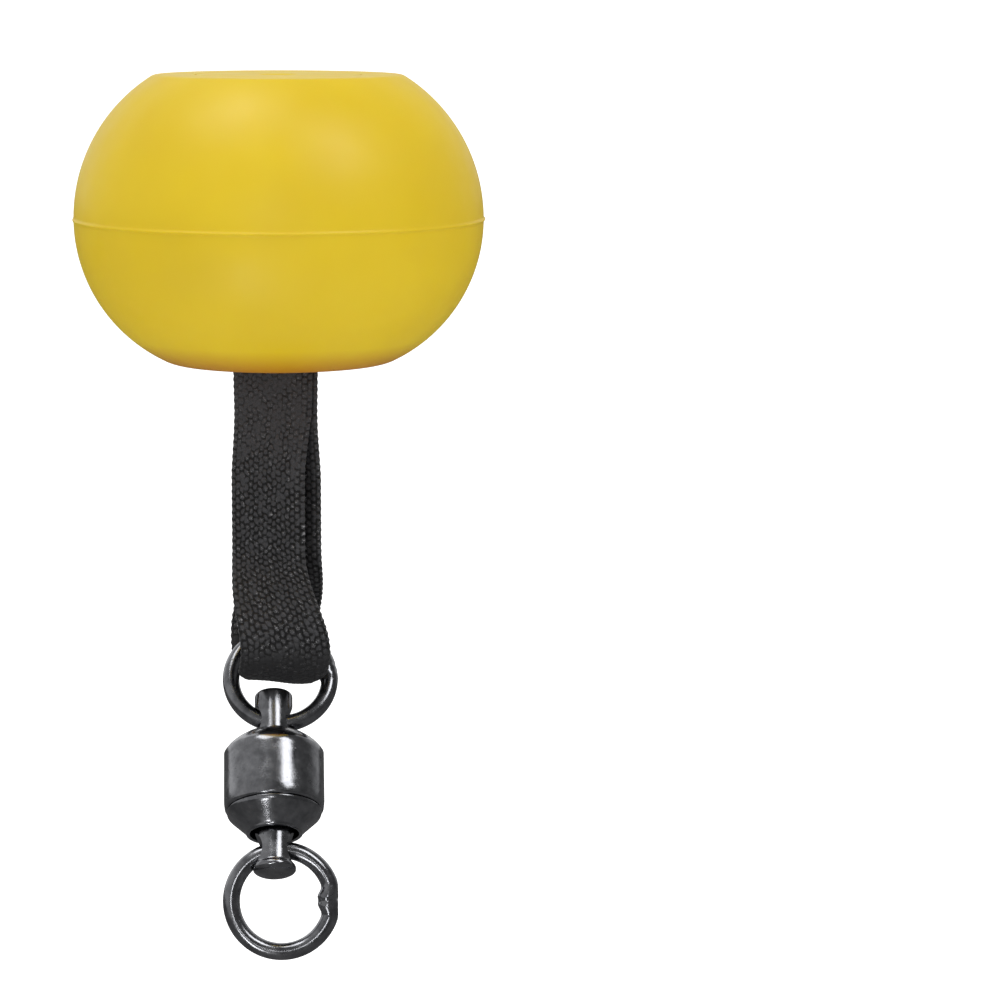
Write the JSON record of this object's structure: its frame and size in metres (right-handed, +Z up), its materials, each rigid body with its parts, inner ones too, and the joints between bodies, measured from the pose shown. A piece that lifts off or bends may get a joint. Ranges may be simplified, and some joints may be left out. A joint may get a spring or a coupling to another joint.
{
  "type": "bobber float",
  "caption": "Round moulded knob float on a flat webbing loop that ends in a ball bearing swivel with two welded rings.",
  "frame": {"origin": "centre of the knob, where a hand holds it", "axes": "+Z up along the knob's axis, away from the strap; -Y is the front, the side the swivel leans to; +X is the right"},
  "size_m": [0.045, 0.045, 0.0945],
  "materials": {
    "knob": "satin moulded yellow soft plastic with a fine flash line round the middle",
    "webbing": "woven black nylon webbing",
    "thread": "bonded black polyester thread",
    "swivel_steel": "polished black nickel over stainless steel, lightly scratched",
    "plated_steel": "zinc plated",
    "bearing_steel": "ground and polished"
  },
  "bodies": {
    "knob": {"knob_body": "knob", "top_plug": "knob", "anchor_washer": "plated_steel", "anchor_pin": "plated_steel", "strap_in_knob": "webbing", "bartack_thread": "thread"},
    "strap": {"strap_loop": "webbing"},
    "upper_ring": {"upper_ring": "swivel_steel"},
    "upper_stem": {"upper_stem": "swivel_steel"},
    "upper_balls": {"upper_ball_1": "bearing_steel", "upper_ball_2": "bearing_steel", "upper_ball_3": "bearing_steel", "upper_ball_4": "bearing_steel", "upper_ball_5": "bearing_steel", "upper_ball_6": "bearing_steel", "upper_ball_7": "bearing_steel", "upper_ball_8": "bearing_steel", "upper_ball_9": "bearing_steel", "upper_ball_10": "bearing_steel"},
    "barrel": {"barrel_shell": "swivel_steel", "barrel_cap": "swivel_steel", "upper_race": "bearing_steel", "lower_race": "bearing_steel"},
    "lower_balls": {"lower_ball_1": "bearing_steel", "lower_ball_2": "bearing_steel", "lower_ball_3": "bearing_steel", "lower_ball_4": "bearing_steel", "lower_ball_5": "bearing_steel", "lower_ball_6": "bearing_steel", "lower_ball_7": "bearing_steel", "lower_ball_8": "bearing_steel", "lower_ball_9": "bearing_steel", "lower_ball_10": "bearing_steel"},
    "lower_stem": {"lower_stem": "swivel_steel"},
    "lower_ring": {"lower_ring": "swivel_steel"}
  },
  "joints": [
    {"name": "strap_swing", "type": "hinge", "parent": "knob", "child": "strap", "pos_m": [0, 0, -0.0171], "axis": [0.866, -0.5, 0], "range_deg": [-75, 75]},
    {"name": "upper_ring_swing", "type": "hinge", "parent": "strap", "child": "upper_ring", "pos_m": [-0.00025, 0.00053, -0.05027], "axis": [1, 0, 0], "range_deg": [-1, 70]},
    {"name": "stem_slide", "type": "hinge", "parent": "upper_ring", "child": "upper_stem", "pos_m": [-0.00025, 0, -0.051], "axis": [0, 0.809, -0.5878], "range_deg": [-28, 11]},
    {"name": "barrel_turn", "type": "hinge", "parent": "upper_stem", "child": "barrel", "pos_m": [-0.00101, -0.00317, -0.05537], "axis": [0, 0.5878, 0.809], "continuous": true},
    {"name": "upper_balls_roll", "type": "hinge", "parent": "upper_stem", "child": "upper_balls", "pos_m": [-0.00101, -0.00317, -0.05537], "axis": [0, 0.5878, 0.809], "continuous": true},
    {"name": "lower_stem_turn", "type": "hinge", "parent": "barrel", "child": "lower_stem", "pos_m": [-0.00101, -0.00317, -0.05537], "axis": [0, 0.5878, 0.809], "continuous": true},
    {"name": "lower_balls_roll", "type": "hinge", "parent": "barrel", "child": "lower_balls", "pos_m": [-0.00101, -0.00317, -0.05537], "axis": [0, 0.5878, 0.809], "continuous": true},
    {"name": "lower_ring_swing", "type": "hinge", "parent": "lower_stem", "child": "lower_ring", "pos_m": [-0.00101, -0.01202, -0.06754], "axis": [1, 0, 0], "range_deg": [-107, 66]}
  ],
  "couplings": [
    {"joint": "upper_balls_roll", "follows": "barrel_turn", "ratio": 0.5},
    {"joint": "lower_balls_roll", "follows": "lower_stem_turn", "ratio": 0.5}
  ]
}
